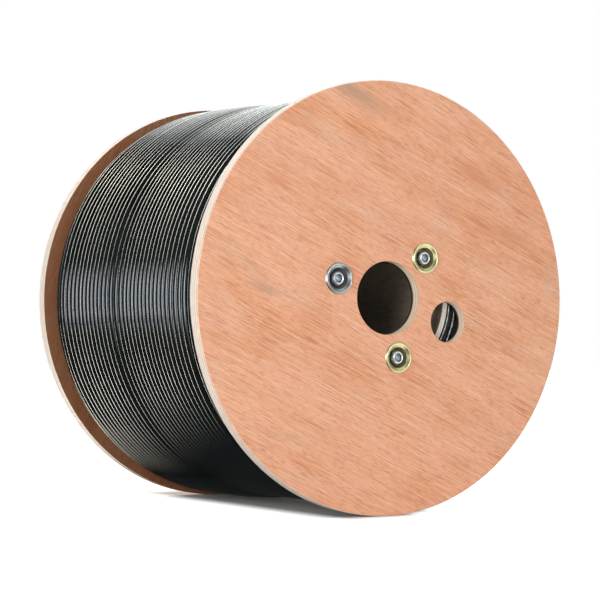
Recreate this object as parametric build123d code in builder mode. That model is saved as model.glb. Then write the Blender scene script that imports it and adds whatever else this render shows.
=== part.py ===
"""Wooden cable drum: two plywood flanges clamped by tie rods on a paper core tube, wound with cable.

The origin is the drum's centre, on its axis. The axis lies along Y, the front flange faces -Y and +Z is up.
Angles are counted from +X towards +Z, as seen from the front.
"""

import os
from math import atan2, cos, degrees, radians, sin

from build123d import *

os.makedirs("parts", exist_ok=True)

# Overall sizes
flange_diameter = 400.0
flange_thickness = 12.0
traverse = 304.0
cut_overrun = 1.0

# Holes in the flanges
bore_diameter = 68.0
rim_chamfer = 0.8
start_hole_diameter = 38.6
start_hole_offset = 70.4

# Core tube, clamped end to end between the flanges
tube_diameter = 150.0
tube_wall = 5.0

# Tie rods on their bolt circle
bolt_count = 3
bolt_circle_radius = 56.0
first_bolt_angle = 41.9
start_hole_angle = first_bolt_angle - 180 / bolt_count
rod_diameter = 8.0
rod_end_recess = 0.9

# Pressed cup washers, with their finish from the first rod onwards
washer_finishes = ("yellow", "clear", "yellow")
washer_diameter = 29.0
washer_sheet = 1.2
cup_opening_diameter = 19.6
cup_depth = 8.1
cup_clearance = 0.2
rod_hole_clearance = 0.4

# Lock nuts, each with a collar over its insert
nut_across_flats = 13.0
nut_hex_height = 6.2
nut_collar_height = 1.8
collar_base_diameter = 11.6
collar_top_diameter = 9.7
thread_clearance = 0.1

# Wound cable: a full lower layer, and a top layer that stops at a seam part of the way from the back flange.
# From that flange the top layer first rises over slumped turns, then lies level, then falls to the seam.
cable_diameter = 7.75
lower_layer_radius = 192.6
top_layer_radius = 197.2
top_layer_edge_radius = 194.2
top_layer_width = 143.0
first_turn_radius = 186.6
slumped_turn_count = 4
level_turn_count = 6
seam_width = 3.5
seam_depth = 4.0
pack_clearance = 0.3
end_layer_count = 2
layer_height = 6.7
layer_groove_depth = 2.2

tube_radius = tube_diameter / 2
outer_face = traverse / 2 + flange_thickness
cup_outer_radius = cup_opening_diameter / 2 + washer_sheet
flange_seat_radius = cup_outer_radius + cup_clearance
rod_hole_radius = rod_diameter / 2 + rod_hole_clearance
rod_half_length = outer_face - cup_depth + nut_hex_height + nut_collar_height - rod_end_recess

# Each side's name, and its outward sense along the normal of Plane.XZ, which points to the front
sides = {"front": 1, "back": -1}
bolt_angles = [first_bolt_angle + i * 360 / bolt_count for i in range(bolt_count)]
bolt_points = [(bolt_circle_radius * cos(radians(a)), bolt_circle_radius * sin(radians(a))) for a in bolt_angles]

# Flanges: plywood discs, bored for the arbor and the cup washers
for side, outward in sides.items():
    inner_plane = Plane.XZ.offset(outward * traverse / 2)
    with BuildPart() as flange:
        with BuildSketch(inner_plane):
            Circle(flange_diameter / 2)
        extrude(amount=outward * flange_thickness)
        outer_edges = flange.edges().filter_by_position(Axis.Y, -outward * outer_face, -outward * outer_face)
        chamfer(outer_edges, rim_chamfer)
        with BuildSketch(inner_plane.offset(-outward * cut_overrun)):
            Circle(bore_diameter / 2)
            with PolarLocations(bolt_circle_radius, bolt_count, first_bolt_angle):
                Circle(flange_seat_radius)
            if side == "front":
                with PolarLocations(start_hole_offset, 1, start_hole_angle):
                    Circle(start_hole_diameter / 2)
        extrude(amount=outward * (flange_thickness + 2 * cut_overrun), mode=Mode.SUBTRACT)
    flange.part.label = f"flange_{side}"
    export_step(flange.part, f"parts/flange_{side}.step")

# Core tube: wound paper, its ends flat on the flanges
with BuildPart() as core_tube:
    with BuildSketch(Plane.XZ):
        Circle(tube_radius)
        Circle(tube_radius - tube_wall, mode=Mode.SUBTRACT)
    extrude(amount=traverse / 2, both=True)
core_tube.part.label = "core_tube"
export_step(core_tube.part, "parts/core_tube.step")

# Wound cable: one turned solid on the tube, drawn as radius against place along the axis
pack_bore = tube_radius + pack_clearance
pack_back = traverse / 2 - pack_clearance
pack_front = -pack_back
seam_back = traverse / 2 - top_layer_width
slump_edge = traverse / 2 - slumped_turn_count * cable_diameter
level_edge = slump_edge - level_turn_count * cable_diameter

# The layers next to the tube show as rounded turns at the front end, behind the start hole
layer_points = []
for layer in range(end_layer_count):
    layer_bottom = pack_bore + layer * layer_height
    layer_points.append((layer_bottom, pack_front + layer_groove_depth))
    layer_points.append((layer_bottom + layer_height / 2, pack_front))
layers_top = pack_bore + end_layer_count * layer_height

with BuildPart() as cable_winding:
    with BuildSketch(Plane.XY):
        with BuildLine():
            Polyline(
                *layer_points,
                (layers_top, pack_front + layer_groove_depth),
                (layers_top + layer_height / 2, pack_front),
                (lower_layer_radius, pack_front),
                (lower_layer_radius, seam_back - seam_width),
                (lower_layer_radius - seam_depth, seam_back - seam_width / 2),
                (top_layer_edge_radius, seam_back),
                (top_layer_radius, level_edge),
                (top_layer_radius, slump_edge),
                (first_turn_radius, pack_back),
                (pack_bore, pack_back),
                close=True,
            )
        make_face()
    revolve(axis=Axis.Y)
cable_winding.part.label = "cable_winding"
export_step(cable_winding.part, "parts/cable_winding.step")

# Tie rods: studs that clamp the flanges on the tube
for number, (x, z) in enumerate(bolt_points, start=1):
    with BuildPart() as tie_rod:
        with BuildSketch(Plane.XZ):
            with Locations((x, z)):
                Circle(rod_diameter / 2)
        extrude(amount=rod_half_length, both=True)
    tie_rod.part.label = f"tie_rod_{number}"
    export_step(tie_rod.part, f"parts/tie_rod_{number}.step")

# Seats of the washers: a plane on the flange's outer face at each end of each rod, facing outwards
def seats(numbers, lift):
    """Planes at both ends of the numbered rods, lifted off the flanges' outer faces."""
    return [
        Plane(origin=(x, -outward * (outer_face + lift), z), x_dir=(1, 0, 0), z_dir=(0, -outward, 0))
        for outward in sides.values()
        for number, (x, z) in enumerate(bolt_points, start=1)
        if number in numbers
    ]


# Cup washers: each is pressed from sheet, its rim lies on the flange and its floor carries the nut
all_rods = range(1, bolt_count + 1)
for finish in dict.fromkeys(washer_finishes):
    numbers = [number for number in all_rods if washer_finishes[(number - 1) % len(washer_finishes)] == finish]
    with BuildPart() as cup_washers:
        with BuildSketch(*seats(numbers, 0)):
            Circle(washer_diameter / 2)
        extrude(amount=washer_sheet)
        with BuildSketch(*seats(numbers, 0)):
            Circle(cup_outer_radius)
        extrude(amount=-cup_depth - washer_sheet)
        with BuildSketch(*seats(numbers, -cup_depth)):
            Circle(cup_opening_diameter / 2)
        extrude(amount=cup_depth + washer_sheet + cut_overrun, mode=Mode.SUBTRACT)
        with BuildSketch(*seats(numbers, cut_overrun - cup_depth)):
            Circle(rod_hole_radius)
        extrude(amount=-washer_sheet - 2 * cut_overrun, mode=Mode.SUBTRACT)
    cup_washers.part.label = f"cup_washers_{finish}"
    export_step(cup_washers.part, f"parts/cup_washers_{finish}.step")

# Lock nuts: each stands on a cup's floor, and its collar tapers in over the insert
collar_taper = degrees(atan2((collar_base_diameter - collar_top_diameter) / 2, nut_collar_height))
with BuildPart() as lock_nuts:
    with BuildSketch(*seats(all_rods, -cup_depth)):
        RegularPolygon(nut_across_flats / 2, 6, major_radius=False)
    extrude(amount=nut_hex_height)
    with BuildSketch(*seats(all_rods, nut_hex_height - cup_depth)):
        Circle(collar_base_diameter / 2)
    extrude(amount=nut_collar_height, taper=collar_taper)
    with BuildSketch(*seats(all_rods, -cup_depth - cut_overrun)):
        Circle(rod_diameter / 2 + thread_clearance)
    extrude(amount=nut_hex_height + nut_collar_height + 2 * cut_overrun, mode=Mode.SUBTRACT)
lock_nuts.part.label = "lock_nuts"
export_step(lock_nuts.part, "parts/lock_nuts.step")
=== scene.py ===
# %% [markdown]
# # A wooden cable drum, dressed for its portrait
# The real object is a drum of black cable. Two plywood flanges are clamped by three tie rods on a paper tube,
# and the cable is wound on the tube between them. The construction model gives every piece at its real size,
# so this lesson only adds what a turned solid can't show: the turns of the cable, the pressed and threaded
# shapes of the hardware, and the finish of every surface.

# %% Load the frame
import math

import bpy
import numpy as np
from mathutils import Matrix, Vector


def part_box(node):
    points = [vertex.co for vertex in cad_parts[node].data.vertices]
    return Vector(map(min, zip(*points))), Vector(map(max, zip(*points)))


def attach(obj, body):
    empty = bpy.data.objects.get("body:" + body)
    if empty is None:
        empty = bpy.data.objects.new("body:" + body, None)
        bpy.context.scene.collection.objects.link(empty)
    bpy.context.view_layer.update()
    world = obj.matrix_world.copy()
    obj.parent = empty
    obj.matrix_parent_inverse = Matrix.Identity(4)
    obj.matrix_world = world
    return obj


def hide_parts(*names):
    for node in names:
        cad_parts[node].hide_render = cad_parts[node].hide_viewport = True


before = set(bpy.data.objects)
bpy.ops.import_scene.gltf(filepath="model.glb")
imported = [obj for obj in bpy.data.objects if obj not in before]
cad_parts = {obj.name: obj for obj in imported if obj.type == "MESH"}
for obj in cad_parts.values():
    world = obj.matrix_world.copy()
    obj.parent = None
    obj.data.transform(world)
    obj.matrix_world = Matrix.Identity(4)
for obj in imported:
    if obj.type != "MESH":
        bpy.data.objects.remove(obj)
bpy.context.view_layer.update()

MM = 0.001


# %% [markdown]
# ## Measures taken from the frame
# The drum lies along Y, with its front flange towards -Y and Z up. Every later size that the frame already
# knows is read from it here, so that nothing has to be fitted by eye.

# %% Read the drum's own measures
ROD_NUMBERS = (1, 2, 3)

flange_low, flange_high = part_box("flange_back")
drum_radius = flange_high.z
inner_face = flange_low.y
outer_face = flange_high.y
tube_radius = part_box("core_tube")[1].z
rod_boxes = [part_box(f"tie_rod_{number}") for number in ROD_NUMBERS]
rod_places = [((low.x + high.x) / 2, (low.z + high.z) / 2) for low, high in rod_boxes]
rod_low, rod_high = rod_boxes[0]
rod_radius = (rod_high.x - rod_low.x) / 2
rod_end = rod_high.y
washer_low, washer_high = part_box("cup_washers_clear")
washer_radius = (washer_high.x - washer_low.x) / 2
print("flange radius", round(drum_radius / MM, 1), "mm, between flanges", round(2 * inner_face / MM, 1), "mm")

# %% [markdown]
# ## The camera
# The view comes first, because every later choice is compared in it. A long lens stands low, in front of the
# drum and to its left, and looks up by about a degree, so that the flange stays round and upright.

# %% Place the camera
CAMERA_PLACE = (-1.1011, -1.8100, -0.0334)
CAMERA_TURN = math.radians(-31.44)
CAMERA_RISE = math.radians(0.913)
LENS = 129.29
SENSOR_WIDTH = 36.0

scene = bpy.context.scene
camera = bpy.data.objects.new("camera", bpy.data.cameras.new("camera"))
camera.data.sensor_width = SENSOR_WIDTH
camera.data.lens = LENS
camera.location = CAMERA_PLACE
camera.rotation_euler = (math.pi / 2 + CAMERA_RISE, 0, CAMERA_TURN)
scene.collection.objects.link(camera)
scene.camera = camera
print("camera", CAMERA_PLACE, "lens", LENS)

# %% [markdown]
# ## From rings of points to a piece
# Almost everything on a drum is round: a cable is a circle carried along a path, and a washer is a section
# carried round an axis. Both come to the same thing, rows of rings, so one helper can turn an array of rings
# into a mesh. It works on whole arrays, which keeps a hundred thousand faces down to a blink.

# %% A helper for pieces made of rings
CUBIC_CM = 1e-6


def make_piece(name, rings, closed, crease=None, drawn_out=None):
    """Makes a mesh object from rings of points, an array of rings by points by 3, in metres.

    Each quad joins two neighbours on a ring to the same two on the next ring, and every ring closes on
    itself. The last ring meets the first where closed is true, and otherwise a flat cap closes each end. A
    sixth of the sum of the quads' triple products is the volume inside, or near it where there are caps.
    Where it comes out negative, the corners are taken in the other order, so that faces point outwards.
    drawn_out gives each point a place on the straight stock, for patterns that follow it. Edges that turn by
    more than crease degrees stay sharp.
    """
    count, sides = rings.shape[:2]
    row = np.arange(count if closed else count - 1)[:, None] * sides
    next_row = (row + sides) % (count * sides)
    step = np.arange(sides)[None, :]
    next_step = (step + 1) % sides
    corners = (row + step, row + next_step, next_row + next_step, next_row + step)
    quads = np.stack(corners, axis=-1).reshape(-1, 4)
    caps = [] if closed else [np.arange(sides)[::-1], (count - 1) * sides + np.arange(sides)]
    points = rings.reshape(-1, 3)
    a, b, c, d = (points[quads[:, i]] for i in range(4))
    volume = (np.einsum("ij,ij->i", a, np.cross(b, c)) + np.einsum("ij,ij->i", a, np.cross(c, d))).sum() / 6
    if volume < 0:
        quads = quads[:, ::-1]
        caps = [cap[::-1] for cap in caps]
    loops = np.concatenate([quads.ravel(), *caps]).astype(np.int32)
    sizes = np.concatenate([np.full(len(quads), 4), [len(cap) for cap in caps]]).astype(np.int32)
    mesh = bpy.data.meshes.new(name)
    mesh.vertices.add(len(points))
    mesh.vertices.foreach_set("co", points.astype(np.float32).ravel())
    mesh.loops.add(len(loops))
    mesh.loops.foreach_set("vertex_index", loops)
    mesh.polygons.add(len(sizes))
    mesh.polygons.foreach_set("loop_start", np.cumsum(sizes, dtype=np.int32) - sizes)
    mesh.polygons.foreach_set("use_smooth", np.ones(len(sizes), dtype=bool))
    mesh.update(calc_edges=True)
    mesh.validate()
    if crease is not None:
        mesh.set_sharp_from_angle(angle=math.radians(crease))
    if drawn_out is not None:
        stock = mesh.attributes.new("drawn_out", "FLOAT_VECTOR", "POINT")
        stock.data.foreach_set("vector", drawn_out.astype(np.float32).ravel())
    piece = bpy.data.objects.new(name, mesh)
    scene.collection.objects.link(piece)
    triangles = int((sizes - 2).sum())
    print(name, triangles, "triangles,", round(abs(volume) / CUBIC_CM, 2), "cm3")
    return piece


# %% [markdown]
# ## The wound cable
# On the real drum one cable runs from the tube outwards, layer on layer. Only its last two layers show: a
# full lower layer, and a top layer that has come a little less than half of the way back from the back
# flange. A bevelled curve could draw them, but a formula keeps every turn exactly beside its neighbour: a
# circle is carried round the axis, while its radius and its place along the axis follow how many turns have
# been laid.

# %% A cable carried round the axis
CABLE_RADIUS = 3.7 * MM
# Angles round the cable in degrees, counted from its outer side
outer_side = np.linspace(-105, 105, 10)
inner_side = np.array([142, 180, 218])
CABLE_SECTION = np.radians(np.concatenate([outer_side, inner_side]))


def wound_cable(name, turns, first_angle, radius, place):
    """A round cable wound on the drum's axis, from arrays of turns laid, radius and place along the axis.

    At each step a circle stands in a plane through the axis. A point at angle p of the circle lies at
    radius + CABLE_RADIUS * cos p from the axis and at place + CABLE_RADIUS * sin p along it, and the plane
    is turned by first_angle + 2 pi * turns. The circle has more points on its outer side, which shows.
    """
    angle = (first_angle + 2 * np.pi * turns)[:, None]
    out = CABLE_RADIUS * np.cos(CABLE_SECTION)
    along = CABLE_RADIUS * np.sin(CABLE_SECTION)
    from_axis = radius[:, None] + out
    rings = np.stack([from_axis * np.cos(angle), place[:, None] + along, from_axis * np.sin(angle)], axis=-1)
    length = np.concatenate([[0], np.cumsum(np.linalg.norm(np.diff(rings[:, 0], axis=0), axis=1))])
    stock = np.stack(np.broadcast_arrays(length[:, None], out, along), axis=-1)
    print(name, round(turns[-1] - turns[0], 1), "turns,", round(length[-1], 1), "m of cable")
    return make_piece(name, rings, closed=False, drawn_out=stock)


# %% How a turn strays
WANDER_TURNS = 0.6
RIPPLE_TURNS = 0.03
RADIAL_WANDER = 0.15 * MM
RIPPLE = 0.015 * MM
SPARE_VALUES = 3


def eased(share):
    """A smoothstep from 0 to 1: share ^ 2 * (3 - 2 * share)."""
    return share * share * (3 - 2 * share)


def uneven(turns, seed, step=WANDER_TURNS):
    """A slow wander between -1 and 1: seeded random values, one every step turns, joined by smooth eases."""
    values = np.random.default_rng(seed).uniform(-1, 1, int(turns[-1] / step) + SPARE_VALUES)
    share = turns / step
    before = share.astype(int)
    ease = eased(share - before)
    return values[before] * (1 - ease) + values[before + 1] * ease


def wander(turns, seed):
    """How far a turn lies off its radius: a slow wander over most of a turn and a short ripple."""
    return RADIAL_WANDER * uneven(turns, seed) + RIPPLE * uneven(turns, seed + 1, RIPPLE_TURNS)


print("a turn strays by up to", round((RADIAL_WANDER + RIPPLE) / MM, 3), "mm")

# %% [markdown]
# Near the back flange the pack has slumped, so every layer rises from there over about four turns, lies
# level, and then falls a little. The crests of the top layer are given by their distance from the back
# flange, and the layer that it covers lies one cable lower.

# %% The rise and fall of the layers
LAYER_DROP = 7.5 * MM
top_crest_places = np.array([3.9, 12.4, 20.9, 31.0, 77.0, 104.0, 120.0, 139.0]) * MM
top_crest_radii = np.array([187.2, 191.6, 195.0, 197.0, 197.0, 196.1, 195.2, 194.2]) * MM
COVERED_END = 133.5 * MM
OPEN_START = 140.5 * MM
LEVEL_START = 156.0 * MM
OPEN_CRESTS = np.array([193.7, 192.8]) * MM


def lower_crest(from_back):
    """Outer radius of the lower layer, by the distance from the back flange.

    It lies LAYER_DROP under the top layer's crest as far as that covers it. An even slope leads up to the
    open part, which falls from the first to the second of OPEN_CRESTS and is level from LEVEL_START on.
    """
    covered = np.interp(from_back, top_crest_places, top_crest_radii) - LAYER_DROP
    share = np.clip((from_back - COVERED_END) / (OPEN_START - COVERED_END), 0, 1)
    open_part = np.interp(from_back, [OPEN_START, LEVEL_START], OPEN_CRESTS)
    return covered + share * (open_part - covered)


print("crests from", round(top_crest_radii.min() / MM, 1), "to", round(top_crest_radii.max() / MM, 1), "mm")

# %% [markdown]
# A winding machine lays turns closely, but not evenly: they stand 7.6 mm apart in the middle of the lower
# layer, spread out towards the front flange, and leave two wide gaps beside it. Each span below holds a
# number of turns at one spacing. The turns lie level, and each steps to the next place on the far side of
# the drum, as a machine's guide does. At the front flange the cable rises out of the pack, also on the far
# side.

# %% How the guide lays the turns
EDGE_PLACE = 3.9 * MM
CROSSING = 0.28
LOOSENESS = 0.3
MOST_SLACK = 2 * MM


def laid(spans, lead_in):
    """Marks of turns laid and places reached: lead_in turns beside a flange, and then span after span."""
    counts, spacings = np.array(spans).T
    turn_marks = np.concatenate([[0, lead_in], lead_in + np.cumsum(counts)])
    place_marks = np.concatenate([[0, 0], np.cumsum(counts * spacings)]) * MM + EDGE_PLACE
    return turn_marks, place_marks


def stepped(turns, facing_turn):
    """Turns as the guide lays them: level on the facing side, and then a smoothstep to the next whole turn,
    which takes a share CROSSING of the round on the far side."""
    share = (turns - facing_turn) % 1
    return turns - share + eased(np.clip((share - 0.5) / CROSSING + 0.5, 0, 1))


def sway(turns, turn_marks, place_marks):
    """How far a turn can stray sideways: a share LOOSENESS of its spacing less the cable's width, where that
    slack counts up to MOST_SLACK."""
    spacing = np.gradient(np.interp(turns, turn_marks, place_marks), turns)
    return LOOSENESS * np.clip(spacing - 2 * CABLE_RADIUS, 0, MOST_SLACK)


# %% The lower layer
STEPS_A_TURN = 190
FACING_ANGLE = math.pi
RISE_ANGLE = math.radians(-30)
RISE_TURNS = 0.12
RISE_DEPTH = 9 * MM
LAST_TURN = 1.0
# Each span: number of turns, and how far apart they lie in mm, starting from the front flange
LOWER_SPANS = ((1, 13.9), (1, 12.2), (4, 8.43), (12, 7.63), (18.3, 7.914))

lead_in = (FACING_ANGLE - RISE_ANGLE) / (2 * math.pi)
turn_marks, place_marks = laid(LOWER_SPANS, lead_in)
turn_count = turn_marks[-1] + LAST_TURN
lower_turns = np.linspace(0, turn_count, int(turn_count * STEPS_A_TURN))
from_front = np.interp(stepped(lower_turns, lead_in), turn_marks, place_marks)
from_front = from_front + sway(lower_turns, turn_marks, place_marks) * uneven(lower_turns, seed=3)
from_back = 2 * inner_face - from_front
rise = RISE_DEPTH * (1 - eased(np.clip(lower_turns / RISE_TURNS, 0, 1)))
lower_radius = lower_crest(from_back) - CABLE_RADIUS - rise + wander(lower_turns, seed=5) - RADIAL_WANDER
lower_layer = wound_cable("cable_lower_layer", lower_turns, RISE_ANGLE, lower_radius, inner_face - from_back)

# %% [markdown]
# The same cable then climbs the back flange and lays the top layer over the lower one. Its end is tucked
# under its own last turns, again on the side away from the camera.

# %% The top layer
TOP_STEPS_A_TURN = 245
CLIMB_TURNS = 0.125
TUCK_TURNS = 0.1
TUCK_SHIFT = 5.0 * MM
ROUNDING_STEPS = 9

climb_angle = RISE_ANGLE + 2 * math.pi * lower_turns[-1]
to_facing = ((FACING_ANGLE - climb_angle) / (2 * math.pi)) % 1.0
TOP_SPANS = ((to_facing - CLIMB_TURNS + 3, 8.84), (4, 8.7), (8, 7.69), (0.4, 7.7))
top_marks, top_places = laid(TOP_SPANS, CLIMB_TURNS)
tuck_start = top_marks[-1]
top_marks = np.append(top_marks, tuck_start + TUCK_TURNS)
top_places = np.append(top_places, top_places[-1] - TUCK_SHIFT)


def rounded(values):
    """A running mean of ROUNDING_STEPS, which rounds the corners where two spans meet and keeps the ends."""
    padded = np.pad(values, ROUNDING_STEPS // 2, mode="edge")
    return np.convolve(padded, np.ones(ROUNDING_STEPS) / ROUNDING_STEPS, mode="valid")


top_turns = np.linspace(0, top_marks[-1], int(top_marks[-1] * TOP_STEPS_A_TURN))
settled = np.clip(top_turns - 2 * CLIMB_TURNS, 0, 1)
top_from_back = rounded(np.interp(stepped(top_turns, to_facing), top_marks, top_places))
top_sway = sway(top_turns, top_marks, top_places) * settled
top_from_back = top_from_back + top_sway * uneven(top_turns, seed=11)
climb = 1 - np.clip(top_turns / CLIMB_TURNS, 0, 1) + np.clip((top_turns - tuck_start) / TUCK_TURNS, 0, 1)
top_crest = np.interp(top_from_back, top_crest_places, top_crest_radii) - LAYER_DROP * climb
top_radius = rounded(top_crest) - CABLE_RADIUS + settled * wander(top_turns, seed=13)
top_layer = wound_cable("cable_top_layer", top_turns, climb_angle, top_radius, inner_face - top_from_back)

# %% [markdown]
# Under these two layers lies the rest of the cable, more than four hundred metres. It only shows through the
# start hole, as the round sides of the turns that touch the flange. So the inner pack is one turned shape,
# and each layer gives its ends a rounded ring.

# %% The section of the inner pack
PACK_CLEARANCE = 0.3 * MM
LAYER_HEIGHT = 6.7 * MM
RING_POINTS = 7

pack_end = inner_face - PACK_CLEARANCE
pack_bore = tube_radius + PACK_CLEARANCE
step_from_back = np.array([OPEN_START, COVERED_END, *top_crest_places[-2::-1]])
step_radii = lower_crest(step_from_back) - 2 * CABLE_RADIUS - PACK_CLEARANCE
open_radius = step_radii[0]
corner_radius = step_radii[-1]


def layer_rings(outermost):
    """Radii and hollows of the pack's end: each layer's side is a circle, and at x from the layer's middle it
    lies CABLE_RADIUS - sqrt(CABLE_RADIUS^2 - x^2) behind the flange side."""
    layers = int((outermost - pack_bore) / LAYER_HEIGHT)
    across = LAYER_HEIGHT * np.linspace(-0.5, 0.5, RING_POINTS, endpoint=False)
    middles = pack_bore + LAYER_HEIGHT * (np.arange(layers) + 0.5)
    hollow = CABLE_RADIUS - np.sqrt(CABLE_RADIUS**2 - across**2)
    return (middles[:, None] + across).ravel(), np.tile(hollow, layers)


front_radii, front_hollow = layer_rings(open_radius)
back_radii, back_hollow = layer_rings(corner_radius)
front_places = front_hollow - pack_end
back_places = (pack_end - back_hollow)[::-1]
step_places = inner_face - step_from_back
section_radii = np.concatenate([front_radii, [open_radius], step_radii, [corner_radius], back_radii[::-1]])
section_places = np.concatenate([front_places, [-pack_end], step_places, [pack_end], back_places])
print("the pack's section has", len(section_radii), "points")

# %% The pack under the visible layers
PACK_SIDES = 180


def turned(radii, places, angle):
    """A section turned about the drum's axis: each of its points goes round a circle of its own radius."""
    round_x = radii[:, None] * np.cos(angle)
    round_z = radii[:, None] * np.sin(angle)
    return np.stack(np.broadcast_arrays(round_x, places[:, None], round_z), axis=-1)


pack_angle = np.linspace(0, 2 * np.pi, PACK_SIDES, endpoint=False)
pack_rings = turned(section_radii, section_places, pack_angle)
radius_column = section_radii[:, None]
pack_ways = np.broadcast_arrays(radius_column * pack_angle, radius_column, section_places[:, None])
pack_stock = np.stack(pack_ways, axis=-1)
inner_pack = make_piece("cable_inner_pack", pack_rings, closed=True, crease=50, drawn_out=pack_stock)

# %% [markdown]
# ## Cup washers
# Each end of a tie rod pulls on a pressed steel cup that is sunk in the plywood. Its rolled rim lies on the
# veneer and its floor carries the nut. A press draws such a cup from flat sheet, so its section is one strip
# with round corners, and turning that section gives the washer.

# %% Where the hardware sits
SIDES = {"front": 1, "back": -1}
seats = [(side, outward, number) for side, outward in SIDES.items() for number in ROD_NUMBERS]


def seat_points(rings, number, outward):
    """Moves points from a seat's own frame to the drum: (across, up, out) with out measured from the flange.

    The seat's across runs along +X on the front and -X on the back, so that it is turned and never mirrored.
    """
    x, z = rod_places[number - 1]
    across, up, out = rings[..., 0], rings[..., 1], rings[..., 2]
    return np.stack([x + outward * across, -outward * (outer_face + out), z + up], axis=-1)


def spun(section, sides):
    """A section of (radius, height) pairs spun about its seat's axis, in the seat's own frame."""
    angle = np.linspace(0, 2 * np.pi, sides, endpoint=False)
    radii, heights = section[:, :1], section[:, 1:]
    return np.stack(np.broadcast_arrays(radii * np.cos(angle), radii * np.sin(angle), heights), axis=-1)


print(len(seats), "seats for washers and nuts")

# %% The section of a cup washer
# Sizes in mm, with heights counted outwards from the flange's outer face
CUP_FLOOR = -8.1
SHEET = 1.2
CUP_HOLE = 4.4
CUP_MOUTH = 9.9
CUP_TAPER = 1.2
CUP_CORNER = 1.6
CROWN_HEIGHT = 1.4
CROWN_SKEW = 1.7
MOUTH_DROP = 0.9
SEAT_RADIUS = 11.1
WASHER_SIDES = 72
CORNER_POINTS = 7
CROWN_POINTS = 19


def washer_section():
    """The strip of a cup washer, in mm, as (radius, height) pairs.

    It has the floor, a quarter-round corner, a wall that opens upwards, and a crown from the mouth to the
    outer edge, which stands highest near that edge; then the underside. At a share s of its width the crown
    is CROWN_HEIGHT * sin(pi * s ^ CROWN_SKEW) - MOUTH_DROP * (1 - s) ^ 2 high.
    """
    rim = washer_radius / MM
    quarter = np.linspace(-np.pi / 2, 0, CORNER_POINTS)
    arc = np.stack([np.cos(quarter), np.sin(quarter)], axis=-1)
    corner = [CUP_MOUTH - CUP_TAPER - CUP_CORNER, CUP_FLOOR + CUP_CORNER]
    inner_corner = corner + CUP_CORNER * arc
    outer_corner = corner + (CUP_CORNER + SHEET) * arc
    share = np.linspace(0, 1, CROWN_POINTS)
    crown_radius = CUP_MOUTH + (rim - CUP_MOUTH) * share
    crown_height = CROWN_HEIGHT * np.sin(np.pi * share**CROWN_SKEW) - MOUTH_DROP * (1 - share) ** 2
    crown = np.stack([crown_radius, crown_height], axis=-1)
    underside = [[rim - SHEET / 2, 0.0], [SEAT_RADIUS, 0.0], [SEAT_RADIUS, -2 * SHEET]]
    hole = [[CUP_HOLE, CUP_FLOOR - SHEET], [CUP_HOLE, CUP_FLOOR]]
    return np.concatenate([inner_corner, crown, underside, outer_corner[::-1], hole])


washer_rings = spun(washer_section() * MM, WASHER_SIDES)
cup_washers = {}
for side, outward, number in seats:
    rings = seat_points(washer_rings, number, outward)
    cup_washers[side, number] = make_piece(f"cup_washer_{side}_{number}", rings, closed=True, crease=38)

# %% [markdown]
# ## Lock nuts
# A lock nut is a hexagon whose corners were turned off by a cone, with a thin collar rolled in over a plastic
# ring. Subdividing a hexagon would soften its flats. Taking the smaller of two radii does what the lathe did:
# at each height the surface is the hexagon or the cone, whichever is nearer to the axis.

# %% The shape of a lock nut
# Sizes in mm
ACROSS_FLATS = 13.0
FLAT_ANGLE = math.pi / 3
NUT_SIDES = 96
NUT_BORE = 4.15
NUT_SEED = 7
# Each pair: height over the cup's floor and the lathe's radius there, up the outside and down to the insert
NUT_OUTLINE = np.array([
    (0, NUT_BORE), (0, 6.3), (0.55, 7.6), (4.9, 7.6), (6.2, 6.25),
    (6.25, 5.85), (6.7, 5.72), (7.3, 5.6), (7.72, 5.3), (7.95, 4.9),
    (8.0, 4.5), (7.88, 4.15), (7.55, 3.95), (7.1, 3.9), (6.8, NUT_BORE),
])


def nut_rings(turn):
    """A lock nut in its seat's frame: at angle t the hexagon's radius is half the flats over cos of the angle
    to the nearest flat, and each ring takes the smaller of that and the lathe's radius at its height."""
    heights, limits = NUT_OUTLINE.T[:, :, None]
    angle = np.linspace(0, 2 * np.pi, NUT_SIDES, endpoint=False)
    to_flat = (angle + FLAT_ANGLE / 2) % FLAT_ANGLE - FLAT_ANGLE / 2
    radii = np.minimum(ACROSS_FLATS / 2 / np.cos(to_flat), limits)
    ways = (radii * np.cos(angle + turn), radii * np.sin(angle + turn), CUP_FLOOR + heights)
    return np.stack(np.broadcast_arrays(*ways), axis=-1) * MM


nut_turns = np.random.default_rng(NUT_SEED).uniform(0, FLAT_ANGLE, len(seats))
lock_nuts = {}
for (side, outward, number), turn in zip(seats, nut_turns):
    rings = seat_points(nut_rings(turn), number, outward)
    lock_nuts[side, number] = make_piece(f"lock_nut_{side}_{number}", rings, closed=True, crease=28)

# %% The plastic ring under the collar
INSERT_SECTION = np.array([[3.6, -1.32], [4.12, -1.3], [4.12, -2.2], [4.05, -2.2], [4.03, -1.86]]) * MM
INSERT_SIDES = 48

insert_rings = spun(INSERT_SECTION, INSERT_SIDES)
inserts = {}
for side, outward, number in seats:
    rings = seat_points(insert_rings, number, outward)
    inserts[side, number] = make_piece(f"nut_insert_{side}_{number}", rings, closed=True, crease=30)

# %% [markdown]
# ## Tie rods
# The rods are studs with a rolled thread at each end. A screw modifier could make the thread, but a formula
# is shorter: the radius drops into a groove whose place moves along by one pitch with each turn round the
# rod. Each end has the cone that lets a nut start.

# %% Studs with rolled threads
THREAD_PITCH = 1.25 * MM
THREAD_DEPTH = 0.62 * MM
THREAD_LENGTH = 24 * MM
RUN_OUT = 3 * MM
END_RADIUS = 2.7 * MM
SHANK_RADIUS = 3.6 * MM
ROWS_A_PITCH = 8
ROD_SIDES = 24


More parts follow.
